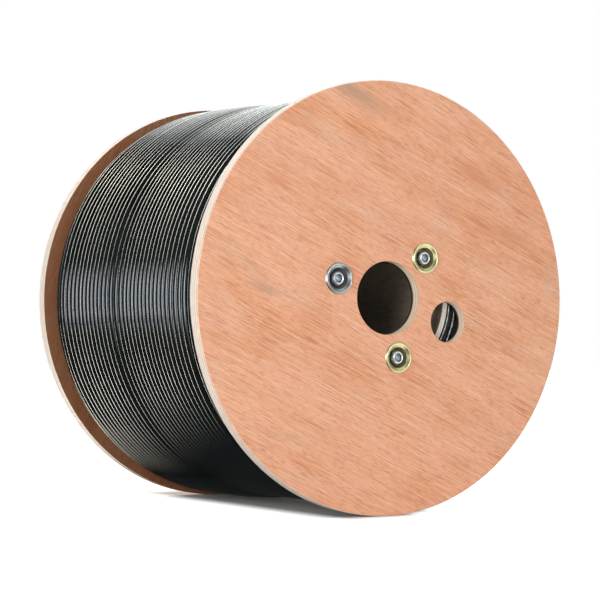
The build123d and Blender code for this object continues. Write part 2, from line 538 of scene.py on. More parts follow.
def rod_rings(number):
    """A stud along Y, with a thread at each end.

    Within THREAD_LENGTH of an end the radius is the rod's less a groove, a triangle wave of the place over
    the pitch less the turn. The groove fades out into a plain shank, and a 45 degree cone trims the end.
    """
    rows = int(THREAD_LENGTH / THREAD_PITCH * ROWS_A_PITCH)
    near_end = np.linspace(-rod_end, THREAD_LENGTH - rod_end, rows)
    along = np.concatenate([near_end, -near_end[::-1]])[:, None]
    angle = np.linspace(0, 2 * np.pi, ROD_SIDES, endpoint=False)[None, :]
    from_end = rod_end - np.abs(along)
    groove = 2 * np.abs((along / THREAD_PITCH - angle / (2 * np.pi)) % 1 - 0.5)
    fade = np.clip((THREAD_LENGTH - from_end) / RUN_OUT, 0, 1)
    radius = SHANK_RADIUS + fade * (rod_radius - THREAD_DEPTH * groove - SHANK_RADIUS)
    radius = np.minimum(radius, END_RADIUS + from_end)
    x, z = rod_places[number - 1]
    ways = (x + radius * np.cos(angle), along, z + radius * np.sin(angle))
    return np.stack(np.broadcast_arrays(*ways), axis=-1)


tie_rods = {}
for number in ROD_NUMBERS:
    tie_rods[number] = make_piece(f"tie_rod_stud_{number}", rod_rings(number), closed=False, crease=50)

# %% [markdown]
# ## How a finish is written
# A finish is a tree of nodes. Two helpers are enough for all of them: one turns an sRGB hex value into the
# linear colour that the shader wants, and the other adds a node with its settings and its links. A Mix node
# numbers its sockets: its share is 0, two colours go into 6 and 7, and their mixture comes out of 2.

# %% Helpers for materials
def tint(code):
    """A hex colour as linear RGBA: v / 12.92 up to 0.04045, and ((v + 0.055) / 1.055) ^ 2.4 above that."""
    shown = np.array([int(code[i : i + 2], 16) for i in (1, 3, 5)]) / 255
    linear = np.where(shown <= 0.04045, shown / 12.92, ((shown + 0.055) / 1.055) ** 2.4)
    return (*linear.tolist(), 1.0)


def add(tree, kind, links=None, **settings):
    """Adds one node: settings are its own properties, and links give inputs a value or a node's output."""
    node = tree.nodes.new(kind)
    for name, value in settings.items():
        setattr(node, name, value)
    for socket, value in (links or {}).items():
        if isinstance(value, bpy.types.NodeSocket):
            tree.links.new(value, node.inputs[socket])
        else:
            node.inputs[socket].default_value = value
    return node


def new_material(name):
    """An empty node material and its tree."""
    material = bpy.data.materials.new(name)
    material.use_nodes = True
    material.node_tree.nodes.clear()
    return material, material.node_tree


# %% Helpers that put a finish on
def finish_node(node, material):
    """Gives a node of the frame its finish in place of the plain one."""
    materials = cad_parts[node].data.materials
    materials.clear()
    materials.append(material)


def dress(piece, material, node):
    """Gives a piece its finish, fixes it to the drum, and hides the node of the frame that it stands for."""
    piece.data.materials.append(material)
    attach(piece, "root")
    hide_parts(node)


# %% [markdown]
# ## Plywood
# The flanges are routed from 12 mm plywood. Its face is a reddish tropical veneer, peeled from a turning log,
# which shows as long pores, streaks and soft bands that all run one way. Its edge shows the plies end on,
# cream and grey-beige in turn. One material serves both: the surface's own direction says which of the two
# shows. Each tone of the veneer is a noise that is stretched along the grain to a real length and width.

# %% The veneer on the faces
VENEER = "#EBB08E"
# Each tone: length and width of its marks in mm, noise detail, where it starts and is full, strength, colour,
# and an earlier tone that gathers it in groups. Pores are really 0.3 mm wide, too fine for the render, so
# they are wider here.
VENEER_TONES = {
    "bands": (230, 34, 2.0, 0.42, 0.64, 0.45, "#DD9C76", None),
    "orange patches": (90, 46, 3.0, 0.46, 0.68, 0.60, "#E29B6F", None),
    "pink patches": (64, 40, 3.0, 0.50, 0.70, 0.50, "#E8B59C", None),
    "grey patches": (70, 30, 3.0, 0.55, 0.74, 0.45, "#D3AB8D", None),
    "pale lines": (50, 0.9, 2.0, 0.50, 0.68, 0.58, "#F4CFB3", None),
    "red lines": (42, 0.7, 2.0, 0.52, 0.70, 0.84, "#CD8660", None),
    "pores": (8, 0.5, 2.0, 0.50, 0.68, 0.52, "#B5714F", None),
    "grouped lines": (38, 1.0, 2.0, 0.55, 0.64, 1.3, "#B4683F", "orange patches"),
}
# How far each tone's noise is shifted from the last one's, and how densely noise changes through the board
TONE_SHIFT = (17.0, 0.0, 9.0)
THROUGH_BOARD = 60.0


def veneer(tree, place, grain_turn, drift):
    """The veneer's colour and each tone's strength: every tone is a stretched noise, cut to its range."""
    grain = add(
        tree,
        "ShaderNodeMapping",
        {"Vector": place.outputs["Object"], "Location": drift, "Rotation": (0, grain_turn, 0)},
    )
    colour = tint(VENEER)
    shade = {}
    for order, (tone, settings) in enumerate(VENEER_TONES.items()):
        length, width, detail, start, full, strength, code, gathered_by = settings
        stretched = add(
            tree,
            "ShaderNodeMapping",
            {
                "Vector": grain.outputs[0],
                "Location": [order * way for way in TONE_SHIFT],
                "Scale": (1 / (length * MM), THROUGH_BOARD, 1 / (width * MM)),
            },
        )
        noise = add(
            tree, "ShaderNodeTexNoise", {"Vector": stretched.outputs[0], "Scale": 1.0, "Detail": detail}
        )
        mask = add(
            tree,
            "ShaderNodeMapRange",
            {"Value": noise.outputs[0], "From Min": start, "From Max": full, "To Max": strength},
            interpolation_type="SMOOTHSTEP",
        )
        if gathered_by:
            both = {0: mask.outputs[0], 1: shade[gathered_by]}
            mask = add(tree, "ShaderNodeMath", both, operation="MULTIPLY")
        shade[tone] = mask.outputs[0]
        colours = {0: shade[tone], 6: colour, 7: tint(code)}
        colour = add(tree, "ShaderNodeMix", colours, data_type="RGBA").outputs[2]
    return colour, shade


# %% Stains on a face
# Each smudge: place across and up in mm, length and width in mm, strength, colour
FRONT_SMUDGES = [
    (-38, 188, 60, 14, 0.55, "#A98E78"),
    (98, 118, 46, 13, 0.50, "#CB8058"),
    (140, 62, 42, 11, 0.40, "#CB8058"),
    (-132, 8, 26, 8, 0.45, "#B08C76"),
]
# So long through the board that a smudge's depth doesn't count
ANY_DEPTH = 1000.0


def smudged(tree, place, colour, grain_turn, smudges):
    """The colour with each smudge mixed in: an ellipse along the grain, which fades towards its outline."""
    for x, z, length, width, strength, code in smudges:
        spot = add(
            tree,
            "ShaderNodeMapping",
            {
                "Vector": place.outputs["Object"],
                "Location": (x * MM, 0, z * MM),
                "Rotation": (0, -grain_turn, 0),
                "Scale": (length * MM, ANY_DEPTH, width * MM),
            },
            vector_type="TEXTURE",
        )
        distance = add(tree, "ShaderNodeVectorMath", {0: spot.outputs[0]}, operation="LENGTH")
        patch = add(
            tree,
            "ShaderNodeMapRange",
            {"Value": distance.outputs["Value"], "From Min": 1.0, "From Max": 0.1, "To Max": strength},
            interpolation_type="SMOOTHSTEP",
        )
        colours = {0: patch.outputs[0], 6: colour, 7: tint(code)}
        colour = add(tree, "ShaderNodeMix", colours, data_type="RGBA").outputs[2]
    return colour


print(len(VENEER_TONES), "tones of veneer and", len(FRONT_SMUDGES), "smudges")

# %% [markdown]
# The walls of the holes are edges too, but a hole saw leaves them rougher and warmer than the routed rim.
# Their tones differ from the rim's partly as painted light, set for the weaker light down in the holes, and
# the last millimetres before the inner face go dark brown.

# %% The plies on the edges
PLY_COUNT = 7
FIBRE_LENGTH = 9 * MM
FIBRE_WIDTH = 1.1 * MM
PLY_CONTRAST = 0.22
RIM_TONES = ("#E4DAD0", "#C6B6A7")
# The hole walls' tones: a warmer sawn edge, and partly painted light for the weaker light in the holes
HOLE_WALL_TONES = ("#E6D6C4", "#C6B29C")
DEEP_WALL_BROWN = "#33271C"
DARK_DEPTH = 2.6 * MM
HOLES_WITHIN = 120 * MM


def ply_edge(tree, place, deep):
    """The edge's colour and the mask of its plies.

    The mask is a sine across the thickness, with half a wave for each ply, and a noise of fibres along the
    ply. Within HOLES_WITHIN of the axis the edge is a hole's wall, whose tones are partly painted light, and
    which goes over to a dark brown at a set depth from the inner face.
    """
    plies = add(
        tree,
        "ShaderNodeMapRange",
        {"Value": deep, "From Min": inner_face, "From Max": outer_face, "To Max": PLY_COUNT * math.pi},
        clamp=False,
    )
    wave = add(tree, "ShaderNodeMath", {0: plies.outputs[0]}, operation="SINE")
    fibres = add(
        tree,
        "ShaderNodeMapping",
        {"Vector": place.outputs["Object"], "Scale": (1 / FIBRE_LENGTH, 1 / FIBRE_WIDTH, 1 / FIBRE_LENGTH)},
    )
    streak = add(tree, "ShaderNodeTexNoise", {"Vector": fibres.outputs[0], "Scale": 1.0, "Detail": 3.0})
    waves = {0: wave.outputs[0], 1: PLY_CONTRAST, 2: streak.outputs[0]}
    ply_tone = add(tree, "ShaderNodeMath", waves, operation="MULTIPLY_ADD")
    mask = add(tree, "ShaderNodeMapRange", {"Value": ply_tone.outputs[0], "From Min": 0.35, "From Max": 0.8})
    edges = []
    for pale, dark in (RIM_TONES, HOLE_WALL_TONES):
        tones = {0: mask.outputs[0], 6: tint(pale), 7: tint(dark)}
        edges.append(add(tree, "ShaderNodeMix", tones, data_type="RGBA").outputs[2])
    level = add(
        tree, "ShaderNodeVectorMath", {0: place.outputs["Object"], 1: (1, 0, 1)}, operation="MULTIPLY"
    )
    from_axis = add(tree, "ShaderNodeVectorMath", {0: level.outputs[0]}, operation="LENGTH")
    near_axis = {0: from_axis.outputs["Value"], 1: HOLES_WITHIN}
    in_hole = add(tree, "ShaderNodeMath", near_axis, operation="LESS_THAN")
    # A dark brown over the last millimetres of the hole walls before the inner face
    depth = add(
        tree,
        "ShaderNodeMapRange",
        {"Value": deep, "From Min": inner_face + DARK_DEPTH + MM, "From Max": inner_face + DARK_DEPTH},
    )
    deep_dark = add(tree, "ShaderNodeMath", {0: in_hole.outputs[0], 1: depth.outputs[0]}, operation="MULTIPLY")
    walls = {0: in_hole.outputs[0], 6: edges[0], 7: edges[1]}
    edge = add(tree, "ShaderNodeMix", walls, data_type="RGBA")
    colours = {0: deep_dark.outputs[0], 6: edge.outputs[2], 7: tint(DEEP_WALL_BROWN)}
    return add(tree, "ShaderNodeMix", colours, data_type="RGBA").outputs[2], mask.outputs[0]


# %% Rotary-cut plywood
# Multiplied onto the veneer of the inner faces, as painted shade
INNER_FACE_SHADE = "#9C8F7F"


def plywood(name, grain_turn, drift, smudges):
    """Bare plywood: veneer on the faces, with painted shade on the inner face, and plies on the edges.

    grain_turn is the grain's slope on the face, and drift picks another piece of the log.
    """
    material, tree = new_material(name)
    place = add(tree, "ShaderNodeTexCoord")
    parts = add(tree, "ShaderNodeSeparateXYZ", {0: place.outputs["Object"]})
    facing = add(tree, "ShaderNodeSeparateXYZ", {0: place.outputs["Normal"]})
    colour, shade = veneer(tree, place, grain_turn, drift)
    colour = smudged(tree, place, colour, grain_turn, smudges)
    deep = add(tree, "ShaderNodeMath", {0: parts.outputs["Y"]}, operation="ABSOLUTE")
    edge, plies = ply_edge(tree, place, deep.outputs[0])
    flat = add(tree, "ShaderNodeMath", {0: facing.outputs["Y"]}, operation="ABSOLUTE")
    on_face = add(tree, "ShaderNodeMapRange", {"Value": flat.outputs[0], "From Min": 0.6, "From Max": 0.95})
    # Normal and place point the same way along the axis on the outer face, and opposite ways on the inner one
    ways = {0: facing.outputs["Y"], 1: parts.outputs["Y"]}
    outward = add(tree, "ShaderNodeMath", ways, operation="MULTIPLY")
    inside = add(tree, "ShaderNodeMath", {0: outward.outputs[0], 1: 0.0}, operation="LESS_THAN")
    # Painted shade on the inner faces, which look onto the winding
    shaded_inner = {0: inside.outputs[0], 6: colour, 7: tint(INNER_FACE_SHADE)}
    face = add(tree, "ShaderNodeMix", shaded_inner, data_type="RGBA", blend_type="MULTIPLY")
    colours = {0: on_face.outputs[0], 6: edge, 7: face.outputs[2]}
    shown = add(tree, "ShaderNodeMix", colours, data_type="RGBA")
    hollows = {0: on_face.outputs[0], 2: plies, 3: shade["pores"]}
    hollow = add(tree, "ShaderNodeMix", hollows, data_type="FLOAT")
    depths = {"Strength": 0.25, "Distance": 0.3 * MM, "Height": hollow.outputs[0]}
    relief = add(tree, "ShaderNodeBump", depths, invert=True)
    dullness = {"Value": shade["pale lines"], "From Max": 0.5, "To Min": 0.55, "To Max": 0.7}
    rough = add(tree, "ShaderNodeMapRange", dullness)
    wood = add(
        tree,
        "ShaderNodeBsdfPrincipled",
        {
            "Base Color": shown.outputs[2],
            "Roughness": rough.outputs[0],
            "Specular IOR Level": 0.3,
            "Normal": relief.outputs[0],
        },
    )
    add(tree, "ShaderNodeOutputMaterial", {"Surface": wood.outputs[0]})
    return material


flange_finishes = {
    "flange_front": plywood("plywood_rotary_cut_front", math.radians(-25.8), (0, 0, 0), FRONT_SMUDGES),
    "flange_back": plywood("plywood_rotary_cut_back", math.radians(64.0), (0.7, 0.3, 0.4), []),
}
for node, material in flange_finishes.items():
    finish_node(node, material)
print("plywood on", sorted(flange_finishes))

# %% [markdown]
# ## Wound paper board
# The core tube is rolled from strips of grey-brown board, glued in a spiral. It gives the eye a dull, fibrous
# wall, and a pale torn edge where it was sawn. Noise stretched along the tube makes the fibres, and the
# surface's own direction tells the sawn ends from the wall.

# %% Spiral-wound board
BOARD_TONES = ("#86796A", "#B4A998")
SAWN_BOARD_TONES = ("#CFC8BF", "#FFFCF8")
BOARD_FIBRE_LENGTH = 14 * MM
BOARD_FIBRE_WIDTH = 3 * MM
TORN_SIZE = 2.2 * MM


def wound_board():
    """Grey-brown board: fibres along the tube, and pale ends with torn patches."""
    material, tree = new_material("paper_board_spiral_wound")
    place = add(tree, "ShaderNodeTexCoord")
    across = 1 / BOARD_FIBRE_WIDTH
    fibres = add(
        tree,
        "ShaderNodeMapping",
        {"Vector": place.outputs["Object"], "Scale": (across, 1 / BOARD_FIBRE_LENGTH, across)},
    )
    fuzz = add(tree, "ShaderNodeTexNoise", {"Vector": fibres.outputs[0], "Scale": 1.0, "Detail": 4.0})
    grain = {"Vector": place.outputs["Object"], "Scale": 1 / TORN_SIZE, "Detail": 3.0}
    torn = add(tree, "ShaderNodeTexNoise", grain)
    surfaces = []
    for noise, (dark, pale) in ((fuzz, BOARD_TONES), (torn, SAWN_BOARD_TONES)):
        tones = {0: noise.outputs[0], 6: tint(dark), 7: tint(pale)}
        surfaces.append(add(tree, "ShaderNodeMix", tones, data_type="RGBA").outputs[2])
    facing = add(tree, "ShaderNodeSeparateXYZ", {0: place.outputs["Normal"]})
    flat = add(tree, "ShaderNodeMath", {0: facing.outputs["Y"]}, operation="ABSOLUTE")
    colours = {0: flat.outputs[0], 6: surfaces[0], 7: surfaces[1]}
    shown = add(tree, "ShaderNodeMix", colours, data_type="RGBA")
    relief = add(tree, "ShaderNodeBump", {"Strength": 0.3, "Distance": 0.4 * MM, "Height": fuzz.outputs[0]})
    board = add(
        tree,
        "ShaderNodeBsdfPrincipled",
        {
            "Base Color": shown.outputs[2],
            "Roughness": 0.85,
            "Specular IOR Level": 0.2,
            "Normal": relief.outputs[0],
        },
    )
    add(tree, "ShaderNodeOutputMaterial", {"Surface": board.outputs[0]})
    return material


finish_node("core_tube", wound_board())
print("board on core_tube")

# %% [markdown]
# ## Cable jacket
# The jacket is black polyethylene, drawn hot over the wires and cooled in water. It is nearly black and
# fairly glossy, so what the eye sees is mostly the studio: a bright line along each turn where the light
# grazes it. Handling leaves a little dust and dull patches along its length, and in the pack under the open
# layers the jacket is creased. The pattern reads the drawn_out attribute, so it follows the cable round the
# drum as it would on the straight cable.

# %% Extruded polyethylene
JACKET_TONES = ("#0F1516", "#41423B")
PATCH_WIDTH = 3 * MM
DUST_LENGTH = 5 * MM
DUST_WIDTH = 1.2 * MM


def cable_jacket(name, patch_length, unevenness):
    """Gloss black plastic with dull patches and dust drawn out along the cable.

    The patches are patch_length long, and unevenness says how strongly they also dent the surface.
    """
    material, tree = new_material(name)
    stock = add(tree, "ShaderNodeAttribute", attribute_name="drawn_out")
    noises = []
    for length, width, detail in ((patch_length, PATCH_WIDTH, 3.0), (DUST_LENGTH, DUST_WIDTH, 4.0)):
        drawn = {"Vector": stock.outputs["Vector"], "Scale": (1 / length, 1 / width, 1 / width)}
        marks = add(tree, "ShaderNodeMapping", drawn)
        pattern = {"Vector": marks.outputs[0], "Scale": 1.0, "Detail": detail}
        noises.append(add(tree, "ShaderNodeTexNoise", pattern).outputs[0])
    dull, dust = noises
    rough = add(
        tree,
        "ShaderNodeMapRange",
        {"Value": dull, "From Min": 0.3, "From Max": 0.75, "To Min": 0.065, "To Max": 0.095},
    )
    specks = {"Value": dust, "From Min": 0.62, "From Max": 0.85, "To Max": 0.2}
    dusty = add(tree, "ShaderNodeMapRange", specks)
    clean_tone, dust_tone = JACKET_TONES
    colours = {0: dusty.outputs[0], 6: tint(clean_tone), 7: tint(dust_tone)}
    shown = add(tree, "ShaderNodeMix", colours, data_type="RGBA")
    relief = add(tree, "ShaderNodeBump", {"Strength": unevenness, "Distance": 0.25 * MM, "Height": dull})
    plastic = add(
        tree,
        "ShaderNodeBsdfPrincipled",
        {
            "Base Color": shown.outputs[2],
            "Roughness": rough.outputs[0],
            "IOR": 1.5,
            "Normal": relief.outputs[0],
        },
    )
    add(tree, "ShaderNodeOutputMaterial", {"Surface": plastic.outputs[0]})
    return material


jacket = cable_jacket("polyethylene_black_extruded", patch_length=45 * MM, unevenness=0.05)
creased_jacket = cable_jacket("polyethylene_black_creased", patch_length=7 * MM, unevenness=0.8)
winding_finishes = ((lower_layer, jacket), (top_layer, jacket), (inner_pack, creased_jacket))
for piece, finish in winding_finishes:
    dress(piece, finish, "cable_winding")
print("jacket on", [piece.name for piece, finish in winding_finishes])

# %% [markdown]
# ## Zinc plate
# The hardware is steel with a thin coat of zinc. Clear zinc looks like bluish silver. The yellow kind is
# dipped in a bath that leaves a film, and it shifts between gold, green and pink as the film's thickness
# changes. Both are a metal whose colour wanders over a few millimetres. Down in the cups and on the nuts
# the colour darkens and the metal dulls with depth, as painted shade, and the sawn ends of the rods have
# lost their plate.

# %% Zinc-plated steel
# Depths below the flange's outer face at which the painted shade starts and is full
CUP_PAINTED_SHADE = (1.2 * MM, 4.0 * MM)
NUT_PAINTED_SHADE = (0.5 * MM, 2.4 * MM)
SHADED_METALLIC = 0.4
FILM_SIZE = 7 * MM
GRIT_SIZE = 2.2 * MM


def zinc_plate(name, codes, gloss, sawn=None, painted_shade=None, depths=CUP_PAINTED_SHADE):
    """Plated steel: two noises, a few mm across, wander between three tones of the film and two of gloss.

    Ends across the drum's axis take the colour sawn, where one is given, because sawing takes off the plate.
    Where a shade colour is given, the surface goes over to that colour between two depths below the
    flange's outer face, as painted shade, and its metallic value falls to the lower one set for it.
    """
    material, tree = new_material(name)
    place = add(tree, "ShaderNodeTexCoord")
    film_noise = {"Vector": place.outputs["Object"], "Scale": 1 / FILM_SIZE, "Detail": 2.0}
    film = add(tree, "ShaderNodeTexNoise", film_noise)
    thick = add(tree, "ShaderNodeMapRange", {"Value": film.outputs[0], "From Min": 0.35, "From Max": 0.65})
    grit_noise = {"Vector": place.outputs["Object"], "Scale": 1 / GRIT_SIZE, "Detail": 4.0}
    grit = add(tree, "ShaderNodeTexNoise", grit_noise)
    stained = add(tree, "ShaderNodeMapRange", {"Value": grit.outputs[0], "From Min": 0.5, "From Max": 0.75})
    thin_tone, thick_tone, stain_tone = (tint(code) for code in codes)
    tones = {0: thick.outputs[0], 6: thin_tone, 7: thick_tone}
    shown = add(tree, "ShaderNodeMix", tones, data_type="RGBA")
    tones = {0: stained.outputs[0], 6: shown.outputs[2], 7: stain_tone}
    shown = add(tree, "ShaderNodeMix", tones, data_type="RGBA")
    if sawn:
        facing = add(tree, "ShaderNodeSeparateXYZ", {0: place.outputs["Normal"]})
        flat = add(tree, "ShaderNodeMath", {0: facing.outputs["Y"]}, operation="ABSOLUTE")
        cut = add(tree, "ShaderNodeMath", {0: flat.outputs[0], 1: 0.9}, operation="GREATER_THAN")
        tones = {0: cut.outputs[0], 6: shown.outputs[2], 7: tint(sawn)}
        shown = add(tree, "ShaderNodeMix", tones, data_type="RGBA")
    metal_share = 1.0
    # Painted shade: deeper in the cups and on the nuts the colour darkens and the metal dulls
    if painted_shade:
        parts = add(tree, "ShaderNodeSeparateXYZ", {0: place.outputs["Object"]})
        out = add(tree, "ShaderNodeMath", {0: parts.outputs["Y"]}, operation="ABSOLUTE")
        shallow, deep = (outer_face - depth for depth in depths)
        reach = {"Value": out.outputs[0], "From Min": deep, "From Max": shallow}
        unshaded = add(tree, "ShaderNodeMapRange", reach)
        tones = {0: unshaded.outputs[0], 6: tint(painted_shade), 7: shown.outputs[2]}
        shown = add(tree, "ShaderNodeMix", tones, data_type="RGBA")
        metallic = {"Value": unshaded.outputs[0], "To Min": SHADED_METALLIC}
        metal_share = add(tree, "ShaderNodeMapRange", metallic).outputs[0]
    low, high = gloss
    rough = add(tree, "ShaderNodeMapRange", {"Value": grit.outputs[0], "To Min": low, "To Max": high})
    relief = add(tree, "ShaderNodeBump", {"Strength": 0.12, "Distance": 0.1 * MM, "Height": grit.outputs[0]})
    metal = add(
        tree,
        "ShaderNodeBsdfPrincipled",
        {
            "Base Color": shown.outputs[2],
            "Metallic": metal_share,
            "Roughness": rough.outputs[0],
            "Normal": relief.outputs[0],
        },
    )
    add(tree, "ShaderNodeOutputMaterial", {"Surface": metal.outputs[0]})
    return material


# %% Zinc on the hardware
CLEAR_ROD = 2
CLEAR_TONES = ("#B2B6B6", "#9BA0A2", "#818688")
YELLOW_TONES = ("#D2CA9A", "#BFC094", "#C6AE94")
NUT_TONES = ("#D4D8DA", "#BEC4C8", "#9CA2A6")

# The colour given last to the washers and the nuts is painted shade, laid on with depth
clear_zinc = zinc_plate("steel_clear_zinc_plate", CLEAR_TONES, (0.28, 0.42), painted_shade="#8E9290")
yellow_zinc = zinc_plate("steel_yellow_zinc_plate", YELLOW_TONES, (0.3, 0.44), painted_shade="#A89E66")
nut_zinc = zinc_plate(
    "steel_clear_zinc_plate_painted_shade", NUT_TONES, (0.24, 0.4), painted_shade="#4E4C44", depths=NUT_PAINTED_SHADE
)
stud_zinc = zinc_plate("steel_clear_zinc_plate_sawn", CLEAR_TONES, (0.3, 0.5), sawn="#76828C")

for (side, number), piece in cup_washers.items():
    if number == CLEAR_ROD:
        dress(piece, clear_zinc, "cup_washers_clear")
    else:
        dress(piece, yellow_zinc, "cup_washers_yellow")
for piece in lock_nuts.values():
    dress(piece, nut_zinc, "lock_nuts")
for number, piece in tie_rods.items():
    dress(piece, stud_zinc, f"tie_rod_{number}")
print("zinc on", len(cup_washers) + len(lock_nuts) + len(tie_rods), "pieces")

# %% [markdown]
# ## The nuts' plastic rings
# The ring that grips the thread is moulded nylon: milky, a little bluish, with a soft gloss.

# %% Moulded nylon
NYLON_TONES = ("#4A5866", "#76848F")
CLOUD_SIZE = 1 * MM


def nylon():
    """Milky nylon with faint cloudy patches a millimetre across."""
    material, tree = new_material("nylon_moulded")
    place = add(tree, "ShaderNodeTexCoord")
    pattern = {"Vector": place.outputs["Object"], "Scale": 1 / CLOUD_SIZE, "Detail": 2.0}
    cloud = add(tree, "ShaderNodeTexNoise", pattern)
    dark, pale = NYLON_TONES
    colours = {0: cloud.outputs[0], 6: tint(dark), 7: tint(pale)}
    shown = add(tree, "ShaderNodeMix", colours, data_type="RGBA")
    rough = add(tree, "ShaderNodeMapRange", {"Value": cloud.outputs[0], "To Min": 0.35, "To Max": 0.55})
    look = {"Base Color": shown.outputs[2], "Roughness": rough.outputs[0], "IOR": 1.53}
    plastic = add(tree, "ShaderNodeBsdfPrincipled", look)
    add(tree, "ShaderNodeOutputMaterial", {"Surface": plastic.outputs[0]})
    return material


milky = nylon()
for piece in inserts.values():
    dress(piece, milky, "lock_nuts")
print("nylon on", len(inserts), "rings")

# %% [markdown]
# ## The studio
# The drum stands on a white floor in front of a white background. Light Path tells the world and the floor
# which rays come from the eye or from a reflection, and only those see pure white; the light that falls on
# the drum stays at a plain level.

# %% White world
FILL_LIGHT = 0.5
WHITE = "#FFFFFF"


def seen_rays(tree):
    """One for camera, glossy and transmission rays, and zero for the rays that light the object."""
    path = add(tree, "ShaderNodeLightPath")
    seen = path.outputs["Is Camera Ray"]
    for ray in ("Is Glossy Ray", "Is Transmission Ray"):
        seen = add(tree, "ShaderNodeMath", {0: seen, 1: path.outputs[ray]}, operation="MAXIMUM").outputs[0]
    return seen


world = bpy.data.worlds.new("white_studio")
world.use_nodes = True
tree = world.node_tree
tree.nodes.clear()
fill = add(tree, "ShaderNodeBackground", {"Color": tint(WHITE), "Strength": FILL_LIGHT})
white = add(tree, "ShaderNodeBackground", {"Color": tint(WHITE), "Strength": 1.0})
both = add(tree, "ShaderNodeMixShader", {0: seen_rays(tree), 1: fill.outputs[0], 2: white.outputs[0]})
add(tree, "ShaderNodeOutputWorld", {"Surface": both.outputs[0]})
scene.world = world
print("fill light", FILL_LIGHT)

# %% [markdown]
# Near the line on which the drum stands, the floor's own white is turned down, so that its shading shows and
# the shadow stays. Each pair below says where on the floor that white sets in and where it is full.

# %% White floor that keeps the shadow
FLOOR_RADIUS = 8.0
FLOOR_SIDES = 64
FLOOR_PAINT = "#F0F0EE"
# How strong the floor's own white still is in the shadow
SHADOW_CORE = 0.02
# To either side of the line on which the drum stands, and on its right, where that pair counts only in front
SHADOW_EDGE = (36 * MM, 78 * MM)
SHADOW_RIGHT = (12 * MM, 50 * MM)
# Places along the axis between which the pair for the right comes to count
SHADOW_INNER = (-120 * MM, -150 * MM)
# In front of the drum and behind it
SHADOW_FRONT = (-166 * MM, -200 * MM)
SHADOW_BACK = (190 * MM, 245 * MM)

floor_angle = np.linspace(0, 2 * np.pi, FLOOR_SIDES, endpoint=False)
floor_ways = (FLOOR_RADIUS * np.cos(floor_angle), FLOOR_RADIUS * np.sin(floor_angle), -drum_radius)
floor_rim = np.stack(np.broadcast_arrays(*floor_ways), axis=-1)
floor_mesh = bpy.data.meshes.new("studio_floor")
floor_mesh.from_pydata(floor_rim.tolist(), [], [list(range(FLOOR_SIDES))])
floor = bpy.data.objects.new("studio_floor", floor_mesh)
scene.collection.objects.link(floor)

floor_paint, tree = new_material("white_floor_paint")
place = add(tree, "ShaderNodeTexCoord")
ways = add(tree, "ShaderNodeSeparateXYZ", {0: place.outputs["Object"]})
aside = add(tree, "ShaderNodeMath", {0: ways.outputs["X"]}, operation="ABSOLUTE")
inner, outer = SHADOW_INNER
in_front = add(tree, "ShaderNodeMapRange", {"Value": ways.outputs["Y"], "From Min": inner, "From Max": outer})
right = add(tree, "ShaderNodeMath", {0: ways.outputs["X"], 1: in_front.outputs[0]}, operation="MULTIPLY")
distances = [
    (aside.outputs[0], SHADOW_EDGE),
    (right.outputs[0], SHADOW_RIGHT),
    (ways.outputs["Y"], SHADOW_FRONT),
    (ways.outputs["Y"], SHADOW_BACK),
]
lift = SHADOW_CORE
for distance, (near, far) in distances:
    limits = {"Value": distance, "From Min": near, "From Max": far}
    ramp = add(tree, "ShaderNodeMapRange", limits, interpolation_type="SMOOTHSTEP")
    lift = add(tree, "ShaderNodeMath", {0: lift, 1: ramp.outputs[0]}, operation="MAXIMUM").outputs[0]
glow = add(tree, "ShaderNodeMath", {0: lift, 1: seen_rays(tree)}, operation="MULTIPLY")
paint = add(tree, "ShaderNodeBsdfDiffuse", {"Color": tint(FLOOR_PAINT)})
shine = add(tree, "ShaderNodeEmission", {"Color": tint(WHITE), "Strength": glow.outputs[0]})
total = add(tree, "ShaderNodeAddShader", {0: paint.outputs[0], 1: shine.outputs[0]})
add(tree, "ShaderNodeOutputMaterial", {"Surface": total.outputs[0]})
floor_mesh.materials.append(floor_paint)
print("floor at", round(-drum_radius / MM, 1), "mm")

# %% [markdown]
# Two soft lamps light the drum: a large one in front at its left, near the height of the axis, and one
# overhead. Reflections don't see the lamps themselves.

# %% Lamps
# Each lamp: place in metres, width and height in metres, power in watts, colour
LAMPS = {
    "left_softbox": ((-2.46, -1.54, 0.1), (1.5, 1.9), 80.0, "#FFFAF4"),
    "top_softbox": ((0.3, -0.35, 1.9), (1.6, 1.6), 14.0, WHITE),
}
for name, (spot, (wide, high), power, code) in LAMPS.items():
    lamp = bpy.data.lights.new(name, "AREA")
    lamp.shape = "RECTANGLE"
    lamp.size = wide
    lamp.size_y = high
    lamp.energy = power
    lamp.color = tint(code)[:3]
    holder = bpy.data.objects.new(name, lamp)
    holder.location = spot
    toward = -holder.location
    holder.rotation_euler = toward.to_track_quat("-Z", "Y").to_euler()
    holder.visible_camera = False
    holder.visible_glossy = False
    scene.collection.objects.link(holder)
print("lamps:", ", ".join(LAMPS))

# %% [markdown]
# A glossy black thing is shaped by what it mirrors. Dark flags stand at both sides and lie on the floor, as
# beside any glossy product. Bright panels behind the drum, one upright and one on the floor, draw the thin
# white line along each turn, and dimmer ones stand at the right and hang overhead. The left softbox's cloth,
# which is brightest in its middle, lays the soft band across the turns, and a small panel in front shows in
# the turns behind the start hole. Only reflections see flags, panels and cloth: they neither light the drum
# nor shade it.

